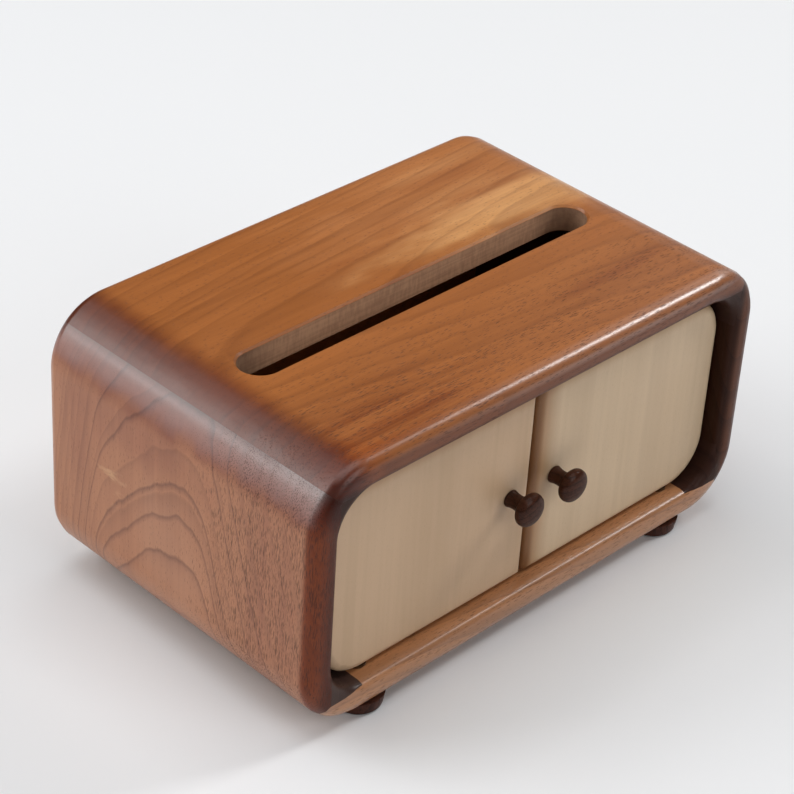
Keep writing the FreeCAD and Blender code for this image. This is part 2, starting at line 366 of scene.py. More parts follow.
class Pores(Effect):
    """Open pores cut lengthwise: short dark dashes along the grain, dots on end grain."""

    title = "pores"
    takes = (BOARD, ("Width", NUMBER, 0.8), ("Length", NUMBER, 4.5), ("Fill", NUMBER, 0.5))
    gives = (("Mask", NUMBER), ("Height", NUMBER))
    sizes = ((1.0, 1.0), (1.9, 0.75))
    soft_edge = 0.55

    @classmethod
    def build(cls, graph: Graph, source: Sockets) -> Results:
        """Make the pore mask and its depth; see Effect.build."""
        place = graph.counted(source["Board"], source["Width"], source["Length"])
        masks = []
        for fineness, share in cls.sizes:
            cells = graph.node("ShaderNodeTexVoronoi", {"Vector": place, "Scale": fineness,
                                                        "Randomness": 1.0},
                               feature="F1", voronoi_dimensions="3D").outputs["Distance"]
            edge = graph.times(source["Fill"], share)
            masks.append(graph.remap(cells, graph.times(edge, cls.soft_edge), edge, 1.0, 0.0))
        mask = graph.math("MAXIMUM", *masks)
        return {"Mask": mask, "Height": graph.minus(1.0, mask)}


class SoftPatch(Effect):
    """A soft-edged oval region of a board."""

    title = "soft_patch"
    takes = (BOARD, ("Centre", VECTOR, (0.0, 0.0, 0.0)), ("Size", VECTOR, (10.0, 10.0, 10.0)))
    raggedness = 0.9
    core = 0.15

    @classmethod
    def build(cls, graph: Graph, source: Sockets) -> Results:
        """Make the region's mask; see Effect.build."""
        away = graph.vector("SUBTRACT", source["Board"], source["Centre"])
        away = graph.vector("DIVIDE", away, source["Size"])
        ragged = graph.minus(graph.grained(source["Board"], 9, 26), 0.5)
        reach = graph.plus(graph.vector("LENGTH", away), graph.times(ragged, cls.raggedness))
        return {"Mask": graph.remap(reach, cls.core, 1.0, 1.0, 0.0)}


class Curl(Effect):
    """Small light flecks across the grain where the fibres wave."""

    title = "curl"
    takes = (BOARD, ("Spacing", NUMBER, 6.0))
    flatten = (0.35, 0.35, 1.0)

    @classmethod
    def build(cls, graph: Graph, source: Sockets) -> Results:
        """Make the fleck mask; see Effect.build."""
        flat = graph.vector("MULTIPLY", source["Board"], cls.flatten)
        place = graph.counted(flat, source["Spacing"], source["Spacing"])
        return {"Mask": graph.remap(graph.noise(place, scale=2.0), 0.55, 0.72)}


class GlueLine(Effect):
    """A thin line where a flat joint comes to the surface."""

    title = "glue_line"
    takes = (PLACE, ("Across", VECTOR, (0.7071, 0.0, 0.7071)), ("Offset", NUMBER, 0.0),
             ("Width", NUMBER, 0.2))
    core = 0.4

    @classmethod
    def build(cls, graph: Graph, source: Sockets) -> Results:
        """Make the line's mask; see Effect.build."""
        across = graph.vector("DOT_PRODUCT", source["Place"], source["Across"])
        away = graph.math("ABSOLUTE", graph.minus(across, source["Offset"]))
        return {"Mask": graph.remap(away, graph.times(source["Width"], cls.core), source["Width"], 1.0, 0.0)}


class SawnWall(Effect):
    """Unpolished wood inside a box-shaped cut, with the marks that the cutter left, and painted shade
    darkening its walls towards both ends.
    """

    title = "sawn_wall"
    takes = (PLACE, ("Low", VECTOR, (0.0, 0.0, 0.0)), ("High", VECTOR, (0.0, 0.0, 0.0)))
    gives = (("Mask", NUMBER), ("Colour", COLOUR))
    pale: Colour = (0.60, 0.355, 0.215)
    dusky: Colour = (0.45, 0.255, 0.155)
    end_shade: Colour = (0.06, 0.032, 0.02)
    edge = 0.35
    tool_marks = (0.9, 0.9, 0.22)
    layers = (0.03, 0.5, 0.9)

    @classmethod
    def build(cls, graph: Graph, source: Sockets) -> Results:
        """Make the mask of the cut and the colour of its walls; see Effect.build."""
        above = graph.split(graph.vector("SUBTRACT", source["Place"], source["Low"]))
        below = graph.split(graph.vector("SUBTRACT", source["High"], source["Place"]))
        inside = above["X"]
        for side in (above["Y"], above["Z"], below["X"], below["Y"], below["Z"]):
            inside = graph.math("MINIMUM", inside, side)
        marks = graph.noise(graph.vector("MULTIPLY", source["Place"], cls.tool_marks), detail=3.0)
        layers = graph.noise(graph.vector("MULTIPLY", source["Place"], cls.layers))
        both = graph.plus(graph.times(marks, 0.5), graph.times(layers, 0.5))
        colour = graph.mix(graph.remap(both, 0.35, 0.65), cls.pale, cls.dusky)
        # Painted shade: the walls darken towards both ends of the cut.
        end_shade_share = graph.math("MAXIMUM", graph.remap(below["X"], 6.0, 22.0, 0.45, 0.0),
                           graph.remap(above["X"], 3.0, 26.0, 0.6, 0.0))
        return {"Mask": graph.remap(inside, 0.0, cls.edge), "Colour": graph.mix(end_shade_share, colour, cls.end_shade)}


class Handling(Effect):
    """Uneven polish from sanding and from hands."""

    title = "handling"
    takes = (PLACE, ("Size", NUMBER, 25.0))
    gives = (("Cloud", NUMBER), ("Scratch", NUMBER))
    scratches = (60.0, 60.0, 3.0)

    @classmethod
    def build(cls, graph: Graph, source: Sockets) -> Results:
        """Make the cloudy and the scratched values; see Effect.build."""
        place = graph.counted(source["Place"], source["Size"], source["Size"])
        cloud = graph.remap(graph.noise(place, detail=3.0), 0.3, 0.7, smooth=False)
        return {"Cloud": cloud, "Scratch": graph.noise(graph.vector("MULTIPLY", place, cls.scratches))}


# ---- Finishes ----


class Grain(Enum):
    """The way a board's grain runs, as the turn that brings it upright."""

    ALONG_X = (0.0, math.pi / 2, 0.0)
    ALONG_Y = (math.pi / 2, 0.0, 0.0)
    ALONG_Z = (0.0, 0.0, 0.0)


@dataclass(frozen=True)
class Log:
    """A board cut anywhere from a log: where the log's middle runs, and how much it leans."""

    pith: Triple
    rise: float = 0.15

    def ring(self, graph: Graph, board: Socket) -> Socket:
        """Return the ring coordinate of every point of the board."""
        return LogCut.place(graph, Board=board, Pith=self.pith, Rise=self.rise)["Ring"]


@dataclass(frozen=True)
class Arch:
    """A board cut flat, with blunt arches about a crown."""

    crown: float
    half_width: float
    near: float
    far: float
    bend: float = 8.0
    knee: float = 999.0
    beyond: float = 0.0

    def ring(self, graph: Graph, board: Socket) -> Socket:
        """Return the ring coordinate of every point of the board."""
        return ArchCut.place(graph, Board=board, Crown=self.crown, Half_Width=self.half_width,
                             Near_Slope=self.near, Far_Slope=self.far, Bend=self.bend, Knee=self.knee,
                             Knee_Slope=self.beyond)["Ring"]


@dataclass(frozen=True)
class Patch:
    """A soft oval region where a board's colour differs, in the board's own space."""

    centre: Triple
    size: Triple
    colour: Colour
    share: float
    streaked: float = 0.0

    def mask(self, graph: Graph, board: Socket) -> Socket:
        """Return 1 in the middle of the region and 0 outside it."""
        return SoftPatch.place(graph, Board=board, Centre=self.centre, Size=self.size)["Mask"]


@dataclass(frozen=True)
class Fade:
    """A run along one axis of a board's own space over which something comes or goes."""

    axis: str
    start: float
    end: float
    low: float = 0.0
    high: float = 1.0
    ragged: float = 0.0

    def mask(self, graph: Graph, board: Socket) -> Socket:
        """Return low before the start, high beyond the end, and an eased run between."""
        place = graph.split(board)[self.axis]
        if self.ragged:
            drift = graph.minus(graph.noise(board, scale=0.09), 0.5)
            place = graph.plus(place, graph.times(drift, self.ragged))
        return graph.remap(place, self.start, self.end, self.low, self.high)


@dataclass(frozen=True)
class Area:
    """A part of a board: where it lies, and how strongly it takes what is laid there."""

    fades: tuple[Fade, ...]
    weight: float = 1.0

    def mask(self, graph: Graph, board: Socket) -> Socket:
        """Return the weight inside every one of its fades, and nothing outside."""
        mask = graph.times(self.fades[0].mask(graph, board), self.weight)
        for fade in self.fades[1:]:
            mask = graph.times(mask, fade.mask(graph, board))
        return mask


class Surface:
    """One material with its Principled shader, and the places that its patterns start from."""

    def __init__(self, title: str, grain: Grain = Grain.ALONG_Z) -> None:
        """Start the material.

        Args:
            title: its name.
            grain: which way the grain runs.
        """
        self.grain = grain
        self.material = bpy.data.materials.new(title)
        self.material.use_nodes = True
        self.graph = Graph(self.material.node_tree)
        self.inputs = self.material.node_tree.nodes["Principled BSDF"].inputs

    @cached_property
    def metres(self) -> Socket:
        """Return the place of a point in its piece, in metres."""
        return self.graph.node("ShaderNodeTexCoord").outputs["Object"]

    @cached_property
    def place(self) -> Socket:
        """Return the place of a point in its piece, in millimetres."""
        return self.graph.vector("MULTIPLY", self.metres, MM_IN_METRE)

    @cached_property
    def board(self) -> Socket:
        """Return the place of a point in its board, in millimetres, with Z along the grain."""
        return self.graph.node("ShaderNodeMapping", {"Vector": self.metres, "Scale": MM_IN_METRE,
                                                     "Rotation": self.grain.value}).outputs[0]

    def rings(self, ring: Socket, spacing: float, sharpness: float) -> Sockets:
        """Return the growth rings of the board."""
        return GrowthRings.place(self.graph, Ring=ring, Board=self.board, Spacing=spacing,
                                 Sharpness=sharpness)

    def fibres(self, width: float, length: float) -> Sockets:
        """Return the fibres of the board."""
        return Fibres.place(self.graph, Board=self.board, Width=width, Length=length)

    def pores(self, width: float, length: float, fill: float | Socket) -> Sockets:
        """Return the pores of the board."""
        return Pores.place(self.graph, Board=self.board, Width=width, Length=length, Fill=fill)

    def feed(self, name: str, value: object) -> None:
        """Join one of the shader's inputs to a pattern."""
        self.graph.feed(self.inputs[name], value)

    def fix(self, constants: dict[str, float]) -> None:
        """Set the shader's inputs that are the same all over."""
        for name, value in constants.items():
            self.inputs[name].default_value = value

    def clouded(self, size: float, low: float, high: float) -> Socket:
        """Return a roughness that drifts between two values, with clouds of a size in millimetres."""
        cloud = Handling.place(self.graph, Place=self.place, Size=size)["Cloud"]
        return self.graph.remap(cloud, 0.0, 1.0, low, high, smooth=False)

    def relief(self, height: Socket, strength: float, depth: float) -> None:
        """Raise and sink the surface.

        Args:
            height: the pattern that is raised.
            strength: how strongly it shows.
            depth: how far it reaches, in metres.
        """
        bump = self.graph.node("ShaderNodeBump", {"Height": height, "Strength": strength, "Distance": depth})
        self.feed("Normal", bump.outputs[0])


@dataclass(frozen=True)
class Walnut:
    """Walnut board under a satin oil finish."""

    title: str
    grain: Grain
    cut: Log | Arch
    spacing: float = 8.0
    waviness: float = 1.0
    figure: float = 0.4
    lines: tuple[float, ...] = ()
    line_width: float = 1.4
    line_share: float = 0.6
    light: Colour = (0.41, 0.140, 0.036)
    dark: Colour = (0.165, 0.049, 0.014)
    patches: tuple[Patch, ...] = ()
    curl: Patch | None = None
    shade_tints: tuple[tuple[Fade | Area, Colour], ...] = ()
    pore_fill: float = 0.36
    pore_size: tuple[float, float] = (0.6, 4.5)
    pore_share: float = 0.45
    pore_fade: Fade = Fade("Y", -999.0, 999.0, 1.0, 1.0)
    pore_colour: Colour = (0.045, 0.020, 0.014)
    streaks: float = 0.3
    mean_streak: float = 0.62
    tone_share: float = 0.13
    rough: float = 0.33
    gloss: float = 0.3
    wax: float = 0.08
    wax_rough: float = 0.33
    wax_index: float = 1.9
    dry: Fade | None = None
    polish: tuple[Area, ...] = ()
    raw: tuple[Triple, Triple] | None = None
    joints: tuple[tuple[Triple, float], ...] = ()
    joint_width: float = 0.16
    joint_share: float = 0.22
    joint_colour: Colour = (0.045, 0.017, 0.010)

    def figured(self, surface: Surface) -> tuple[Socket, Socket]:
        """Lay the growth rings, lines and fibres.

        Args:
            surface: the material that they go into.

        Returns:
            The darkness of the wood, and the place within a ring.
        """
        graph, board = surface.graph, surface.board
        drift = Wander.place(graph, Board=board, Amount=self.waviness)["Shift"]
        ring = graph.plus(self.cut.ring(graph, board), drift)
        rings = surface.rings(ring, self.spacing, 5.0)
        depth = graph.plus(graph.times(rings["Late"], self.figure),
                           graph.times(graph.plus(rings["Phase"], rings["Tone"]), self.tone_share))
        for place in self.lines:
            line = GrowthLine.place(graph, Ring=ring, At=place, Width=self.line_width)["Mask"]
            depth = graph.math("MAXIMUM", depth, graph.times(line, self.line_share))
        fine = graph.times(surface.fibres(0.45, 24.0)["Streak"], 0.6)
        broad = graph.times(surface.fibres(1.7, 60.0)["Streak"], 0.8)
        streak = graph.minus(graph.plus(fine, broad), self.mean_streak)
        return graph.plus(depth, graph.times(streak, self.streaks), clamp=True), rings["Phase"]

    def coloured(self, surface: Surface, depth: Socket) -> Socket:
        """Turn the darkness of the wood into colour, and lay the patches, the flecks and the painted shade
        over it.

        Args:
            surface: the material that they go into.
            depth: the darkness of the wood.

        Returns:
            The wood's colour, without its pores.
        """
        graph, board = surface.graph, surface.board
        colour = graph.mix(depth, self.light, self.dark)
        veins = surface.fibres(0.9, 34.0)["Streak"]
        for patch in self.patches:
            least = patch.share * (1.0 - patch.streaked)
            share = graph.remap(veins, 0.0, 1.0, least, patch.share, smooth=False)
            colour = graph.tint(graph.times(patch.mask(graph, board), share), colour, patch.colour)
        if self.curl is not None:
            flecks = Curl.place(graph, Board=board, Spacing=7.0)["Mask"]
            share = graph.times(graph.times(self.curl.mask(graph, board), flecks), self.curl.share)
            colour = graph.mix(share, colour, self.curl.colour)
        # Painted shade: each of these tints darkens a part of the board that sits in shade, such as a
        # rounded edge, a rim, an inner wall or the underside of a lip.
        for region, tint in self.shade_tints:
            colour = graph.tint(region.mask(graph, board), colour, tint)
        return colour

    def polished(self, surface: Surface, pores: Socket) -> None:
        """Lay the rubbed polish: thin on the flats, full on the rounded edges, broken by the pores.

        Args:
            surface: the material that takes the coat.
            pores: the mask of the pores.
        """
        if not self.wax:
            return
        graph, waxed = surface.graph, self.wax
        if self.dry is not None:
            waxed = graph.times(graph.minus(1.0, self.dry.mask(graph, surface.board)), self.wax)
        for area in self.polish:
            waxed = graph.math("MAXIMUM", waxed, area.mask(graph, surface.board))
        surface.feed("Coat Weight", graph.times(graph.remap(pores, 0.0, 1.0, 1.0, 0.45), waxed))
        surface.fix({"Coat Roughness": self.wax_rough, "Coat IOR": self.wax_index})

    def make(self) -> bpy.types.Material:
        """Build and return the material."""
        surface = Surface(self.title, self.grain)
        graph, place = surface.graph, surface.place
        depth, phase = self.figured(surface)
        colour = self.coloured(surface, depth)
        rough = surface.clouded(28.0, self.rough - 0.04, self.rough + 0.04)
        fill = graph.times(graph.remap(phase, 0.0, 0.9, self.pore_fill, self.pore_fill * 0.7),
                           self.pore_fade.mask(graph, surface.board))
        pores = surface.pores(*self.pore_size, fill)
        colour = graph.mix(graph.times(pores["Mask"], self.pore_share), colour, self.pore_colour)
        if self.raw is not None:
            sawn = SawnWall.place(graph, Place=place, Low=self.raw[0], High=self.raw[1])
            colour = graph.mix(sawn["Mask"], colour, sawn["Colour"])
            rough = graph.plus(rough, graph.times(sawn["Mask"], 0.3))
        for across, offset in self.joints:
            line = GlueLine.place(graph, Place=place, Across=across, Offset=offset, Width=self.joint_width)
            colour = graph.mix(graph.times(line["Mask"], self.joint_share), colour, self.joint_colour)
        surface.feed("Base Color", colour)
        surface.feed("Roughness", graph.plus(rough, graph.times(pores["Mask"], 0.2), clamp=True))
        surface.fix({"Specular IOR Level": self.gloss})
        self.polished(surface, pores["Mask"])
        fine = surface.fibres(0.45, 24.0)["Height"]
        height = graph.plus(graph.times(pores["Height"], 0.7), graph.times(fine, 0.3))
        surface.relief(height, 0.35, 0.0001)
        return surface.material


@dataclass(frozen=True)
class Maple:
    """Pale maple door under a satin lacquer."""

    title: str
    pith: Triple
    light: Colour
    dark: Colour
    shade_fades: tuple[tuple[Fade, Colour], ...]
    rough: float = 0.42
    pore_colour: Colour = (0.33, 0.20, 0.11)

    def make(self) -> bpy.types.Material:
        """Build and return the material."""
        surface = Surface(self.title)
        graph, board = surface.graph, surface.board
        drift = Wander.place(graph, Board=board, Amount=0.6)["Shift"]
        ring = graph.plus(Log(self.pith, 0.02).ring(graph, board), drift)
        rings = surface.rings(ring, 9.0, 4.0)
        fibres = surface.fibres(0.45, 40.0)
        pores = surface.pores(0.5, 3.0, 0.22)
        bands = surface.fibres(4.5, 160.0)["Streak"]
        depth = graph.plus(graph.times(rings["Late"], 0.16), graph.times(rings["Tone"], 0.42))
        depth = graph.plus(depth, graph.times(graph.minus(bands, 0.4), 0.55))
        depth = graph.plus(depth, graph.times(graph.minus(fibres["Streak"], 0.5), 0.1), clamp=True)
        colour = graph.mix(depth, self.light, self.dark)
        # Painted shade: each fade darkens the door where it sits in shade.
        for fade, tint in self.shade_fades:
            colour = graph.tint(fade.mask(graph, board), colour, tint)
        surface.feed("Base Color", graph.mix(graph.times(pores["Mask"], 0.2), colour, self.pore_colour))
        surface.feed("Roughness", surface.clouded(22.0, self.rough - 0.06, self.rough + 0.05))
        surface.fix({"Specular IOR Level": 0.4})
        surface.relief(fibres["Height"], 0.15, 0.00006)
        return surface.material


@dataclass(frozen=True)
class DarkWalnut:
    """Dark, polished walnut of the turned pieces."""

    title: str
    grain: Grain
    light: Colour = (0.072, 0.023, 0.011)
    dark: Colour = (0.022, 0.0075, 0.004)
    rough: float = 0.38
    gloss: float = 0.22
    pore_colour: Colour = (0.008, 0.004, 0.003)

    def make(self) -> bpy.types.Material:
        """Build and return the material."""
        surface = Surface(self.title, self.grain)
        graph = surface.graph
        ring = Log((14.0, 22.0, 0.0), 0.1).ring(graph, surface.board)
        rings = surface.rings(ring, 2.6, 3.0)
        fibres = surface.fibres(0.3, 9.0)
        pores = surface.pores(0.6, 2.6, 0.34)
        depth = graph.plus(graph.times(rings["Late"], 0.5), graph.times(fibres["Streak"], 0.45), clamp=True)
        colour = graph.mix(depth, self.light, self.dark)
        surface.feed("Base Color", graph.mix(graph.times(pores["Mask"], 0.6), colour, self.pore_colour))
        surface.feed("Roughness", graph.plus(self.rough, graph.times(fibres["Streak"], 0.1)))
        surface.fix({"Coat Weight": self.gloss, "Coat Roughness": 0.12, "Specular IOR Level": 0.05})
        height = graph.plus(graph.times(pores["Height"], 0.6), graph.times(fibres["Height"], 0.25))
        surface.relief(height, 0.25, 0.00006)
        return surface.material


@dataclass(frozen=True)
class Metal:
    """Turned or plated metal."""

    title: str
    bright: Colour
    dull: Colour
    rough: float = 0.3

    def make(self) -> bpy.types.Material:
        """Build and return the material."""
        surface = Surface(self.title)
        worn = Handling.place(surface.graph, Place=surface.place, Size=3.0)
        surface.feed("Base Color", surface.graph.mix(worn["Cloud"], self.bright, self.dull))
        surface.feed("Roughness", surface.clouded(3.0, self.rough - 0.05, self.rough + 0.1))
        surface.fix({"Metallic": 1.0})
        surface.relief(worn["Scratch"], 0.12, 0.00003)
        return surface.material


# ---- Pieces ----


class Side(Enum):
    """Left or right of the box."""

    LEFT = "left"
    RIGHT = "right"


def dress(node: str, material: bpy.types.Material) -> None:
    """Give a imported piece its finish, and shade the flats of its rounded edges as curves.

    Args:
        node: the node's name.
        material: its material.
    """
    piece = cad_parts[node]
    piece.data.materials.clear()
    piece.data.materials.append(material)
    weld = piece.modifiers.new("weld", "WELD")
    weld.merge_threshold = 1e-6
    split = piece.modifiers.new("split", "EDGE_SPLIT")
    split.split_angle = math.radians(36)
    split.use_edge_sharp = False
    weighted = piece.modifiers.new("weighted", "WEIGHTED_NORMAL")
    weighted.weight = 80
    weighted.keep_sharp = False
    LOG.info("%s: packed mesh with %s", node, material.name)


def middle_of(node: str) -> tuple[Vector, Vector, Vector]:
    """Return the low corner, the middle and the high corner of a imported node's box, in metres."""
    low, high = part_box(node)
    return low, (low + high) / 2.0, high


@dataclass(frozen=True)
class Station:
    """One corner of a turned outline: how far it is from the axis and along it, and its rounding."""

    radius: float
    along: float
    soften: float = 0.0


@dataclass(frozen=True)
class Turning:
    """A piece turned on a lathe, made from the corners of its outline."""

    node: str
    body: str
    outline: Sequence[Station]
    base: Vector
    axis: Vector
    steps: int = 48
    smooth_levels: int = 0
    slot: str = "dark_walnut"
    crease: float = math.radians(38)

    def turned(self) -> bmesh.types.BMesh:
        """Return the outline spun once round its axis, and closed."""
        mesh = bmesh.new()
        points = [mesh.verts.new((s.radius * MM, 0.0, s.along * MM)) for s in self.outline]
        edges = [mesh.edges.new(pair) for pair in zip(points, points[1:])]
        bmesh.ops.spin(mesh, geom=points + edges, cent=(0.0, 0.0, 0.0), axis=(0.0, 0.0, 1.0),
                       angle=2.0 * math.pi, steps=self.steps, use_merge=True, use_duplicate=False)
        bmesh.ops.remove_doubles(mesh, verts=mesh.verts, dist=1e-7)
        bmesh.ops.recalc_face_normals(mesh, faces=mesh.faces)
        return mesh

    def soften(self, mesh: bmesh.types.BMesh) -> None:
        """Round the rings of the stations that ask for it."""
        close = 2e-6
        for station in self.outline:
            if station.soften <= 0.0:
                continue
            ring = [e for e in mesh.edges if all(
                abs(math.hypot(v.co.x, v.co.y) - station.radius * MM) < close
                and abs(v.co.z - station.along * MM) < close for v in e.verts)]
            bmesh.ops.bevel(mesh, geom=ring, offset=station.soften * MM, offset_type="OFFSET", segments=4,
                            profile=0.5, affect="EDGES", clamp_overlap=True, material=-1)

    def make(self, material: bpy.types.Material) -> None:
        """Turn the piece, stand it in its place, and let it ride on its body for its node.

        Args:
            material: its finish.
        """
        mesh = self.turned()
        self.soften(mesh)
        turn = self.axis.to_track_quat("Z", "Y").to_matrix().to_4x4()
        mesh.transform(Matrix.Translation(self.base) @ turn)
        for face in mesh.faces:
            face.smooth = True
        for edge in mesh.edges:
            edge.smooth = len(edge.link_faces) != 2 or edge.calc_face_angle() < self.crease
        data = bpy.data.meshes.new(self.node + "_turned")
        mesh.to_mesh(data)
        mesh.free()
        data.materials.append(material)
        piece = bpy.data.objects.new(self.node + "_turned", data)
        bpy.context.scene.collection.objects.link(piece)
        if self.smooth_levels:
            smooth = piece.modifiers.new("smooth", "SUBSURF")
            smooth.levels = smooth.render_levels = self.smooth_levels
        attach(piece, self.body)
        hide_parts(self.node)
        LOG.info("%s: %d faces, rides on %s", piece.name, len(data.polygons), self.body)


@dataclass(frozen=True)
class Case:
    """The mitred walnut case with its corner blocks, back panel and door stop."""

    half_width: float = 112.5
    bottom: float = 5.5
    top_level: float = 112.5

    def build(self) -> None:
        """Dress every board of the case."""
        slant = math.sqrt(0.5)
        drop = (self.bottom + self.half_width) * slant
        upper_left, upper_right = ((slant, 0.0, slant), 0.0), ((-slant, 0.0, slant), 0.0)
        lower_left, lower_right = ((slant, 0.0, -slant), -drop), ((-slant, 0.0, -slant), -drop)
        # Painted shade: the corner blocks take dark copies of the walnut, near black for the three corners
        # in deepest shade and a lighter shade for the lower left one.
        darkest_shade = Walnut(
            "corner_walnut_darkest_shade", Grain.ALONG_Y, Log((0.0, 0.0, 0.0), 0.03), spacing=6.0,
            light=(0.045, 0.018, 0.012), dark=(0.024, 0.010, 0.008), gloss=0.1, wax=0.0)
        shaded = replace(darkest_shade, title="corner_walnut_shade", light=(0.060, 0.033, 0.026), dark=(0.034, 0.018, 0.015),
                         gloss=0.2)
        finishes = {
            "top_board": self.top((upper_left, upper_right)),
            "bottom_board": Walnut(
                "walnut_bottom", Grain.ALONG_X, Log((60.0, -20.0, 0.0), 0.1), spacing=7.0, waviness=1.2,
                light=(0.485, 0.214, 0.087), dark=(0.235, 0.096, 0.039),
                polish=(Area((Fade("Y", -56.0, -62.0),), 0.5),), joints=(lower_left, lower_right)),
            "left_side": self.left((upper_left, lower_left)),
            "right_side": Walnut(
                "walnut_right", Grain.ALONG_Z, Arch(10.0, 12.0, 2.4, 1.6), spacing=15.0, waviness=1.1,
                light=(0.26, 0.092, 0.040), dark=(0.12, 0.040, 0.020), gloss=0.1,
                dry=Fade("Y", -44.0, -56.0),
                # Painted shade: the front of the board and its inner face, which line the recess, are
                # darkened.
                shade_tints=((Fade("Y", -44.0, -56.0), (0.42, 0.37, 0.35)),
                       (Fade("X", 106.0, 102.5), (0.35, 0.36, 0.40))),
                joints=(upper_right, lower_right)),
            "corner_block_bottom_left": shaded,
            "back_panel": Walnut("walnut_panel", Grain.ALONG_X, Log((52.0, 88.0, 0.0), 0.07), spacing=8.5,
                                 waviness=1.6, figure=0.34),
            "door_stop": Walnut("walnut_stop", Grain.ALONG_X, Log((80.0, -90.0, 0.0), 0.05), spacing=5.0)}
        for node, finish in finishes.items():
            dress(node, finish.make())
        dark = darkest_shade.make()
        for corner in ("top_left", "top_right", "bottom_right"):
            dress("corner_block_" + corner, dark)

    def top(self, joints: tuple[tuple[Triple, float], ...]) -> Walnut:
        """Return the top's finish: a honey tongue behind the slot, and painted shade on the left rounding
        and on the front lip.

        Args:
            joints: the mitres that show on it.
        """
        level, front = self.top_level, Fade("Y", -65.8, -63.0)
        return Walnut(
            "walnut_top", Grain.ALONG_X, Arch(8.0, 9.0, 7.0, 10.0, 12.0), spacing=90.0, waviness=15.0,
            light=(0.387, 0.131, 0.034), dark=(0.155, 0.046, 0.013), figure=0.2, streaks=0.24,
            lines=(-150.0, -70.0, 92.0, 232.0, 330.0), line_width=16.0, line_share=0.34,
            patches=(
                Patch((level, 46.0, -70.0), (40.0, 60.0, 120.0), (1.22, 1.38, 1.75), 1.0),
                Patch((level, 19.5, -74.0), (30.0, 19.0, 100.0), (1.62, 2.2, 2.7), 1.0, 0.2),
                Patch((level, 41.0, -58.0), (30.0, 6.0, 34.0), (1.15, 1.28, 1.4), 1.0, 0.3),
                Patch((level, 59.0, -70.0), (30.0, 6.0, 44.0), (1.2, 1.35, 1.5), 1.0, 0.3),
                Patch((level, 33.5, -72.0), (30.0, 3.0, 48.0), (0.74, 0.64, 0.60), 0.9, 0.3),
                Patch((level, 28.5, -2.0), (30.0, 3.0, 44.0), (0.76, 0.66, 0.62), 0.7, 0.3),
                Patch((level, 50.5, -66.0), (30.0, 5.5, 36.0), (0.80, 0.72, 0.70), 0.9, 0.4),
                Patch((level, -63.0, 100.0), (40.0, 20.0, 30.0), (1.0, 0.80, 0.62), 1.0, 0.2),
                Patch((level, -52.0, 66.0), (30.0, 26.0, 60.0), (0.58, 0.42, 0.34), 0.9, 0.85),
                Patch((level, -38.0, -65.0), (30.0, 5.0, 46.0), (0.76, 0.68, 0.70), 0.9, 0.3),
                Patch((level, -25.0, -50.0), (30.0, 7.0, 60.0), (1.12, 1.18, 1.25), 0.7, 0.3)),
            # Painted shade: a dark purplish band along the left rounding, then the front face and the
            # underside of the front lip darkened.
            shade_tints=((Fade("Z", 84.5, 98.0, ragged=6.0), (0.36, 0.22, 0.24)),
                   (Area((Fade("X", 110.5, 107.0), Fade("Y", -61.0, -64.0))), (0.52, 0.42, 0.36)),
                   (Fade("X", 105.0, 102.0), (0.45, 0.38, 0.34))),
            dry=Fade("X", 106.5, 103.5),
            polish=(Area((Fade("Z", 100.5, 106.0, ragged=3.0), front), 0.3),
                    Area((Fade("Y", -59.5, -63.5), Fade("X", 106.0, 109.0), Fade("Z", 90.0, -50.0, 0.2)))),
            pore_share=0.6, pore_fade=Fade("Y", -46.0, 0.0, 1.1, 0.6),
            raw=((-85.9, -8.25, 100.0), (85.9, 8.65, 111.75)), joints=joints)

    def left(self, joints: tuple[tuple[Triple, float], ...]) -> Walnut:
        """Return the left side's finish: wavy arches, and straight open-pored wood at the front.

        Args:
            joints: the mitres that show on it.
        """
        face, front = -self.half_width, Fade("Y", -65.8, -63.0)
        return Walnut(
            "walnut_left", Grain.ALONG_Z, Arch(1.0, 13.0, 3.2, 1.1, 10.0, 44.0, 5.0), spacing=21.0,
            waviness=3.4, light=(0.49, 0.215, 0.112), dark=(0.20, 0.079, 0.048), figure=0.17, streaks=0.16,
            lines=(42.5, 59.0, 72.5, 104.0, 128.0), line_width=2.6, line_share=0.74,
            curl=Patch((face, 38.0, 58.0), (20.0, 16.0, 14.0), (0.62, 0.34, 0.18), 0.9),
            patches=(Patch((face, -46.0, 60.0), (30.0, 22.0, 90.0), (0.88, 0.80, 0.84), 0.8, 0.7),
                     Patch((face, 6.0, 46.0), (30.0, 26.0, 40.0), (1.10, 1.20, 1.30), 0.8),
                     Patch((face, 20.0, 86.0), (30.0, 56.0, 17.0), (0.82, 0.74, 0.77), 0.9, 0.3),
                     Patch((face, 54.0, 74.0), (30.0, 18.0, 34.0), (0.88, 0.82, 0.85), 0.8, 0.4)),
            # Painted shade: a dark purplish band along the upper rounding, the front rim darkened, and the
            # inner face darker towards the recess.
            shade_tints=((Fade("Z", 88.5, 99.0, ragged=9.0), (0.56, 0.42, 0.49)),
                   (Fade("Y", -60.0, -62.8), (0.47, 0.225, 0.11)),
                   (Fade("X", -110.5, -104.0), (0.38, 0.31, 0.29))),
            gloss=0.2, dry=Fade("Y", -60.0, -63.5),
            polish=(Area((Fade("Z", 92.0, 101.0, ragged=5.0), Fade("Z", 103.2, 105.4, 1.0, 0.72), front),
                         0.95),
                    Area((Fade("Z", 93.0, 101.0, ragged=6.0), Fade("Y", -12.0, -50.0), front))),
            pore_fill=0.52, pore_size=(0.38, 4.4), pore_share=0.68,
            pore_fade=Fade("Y", -34.0, 4.0, 1.0, 0.42), joints=joints)


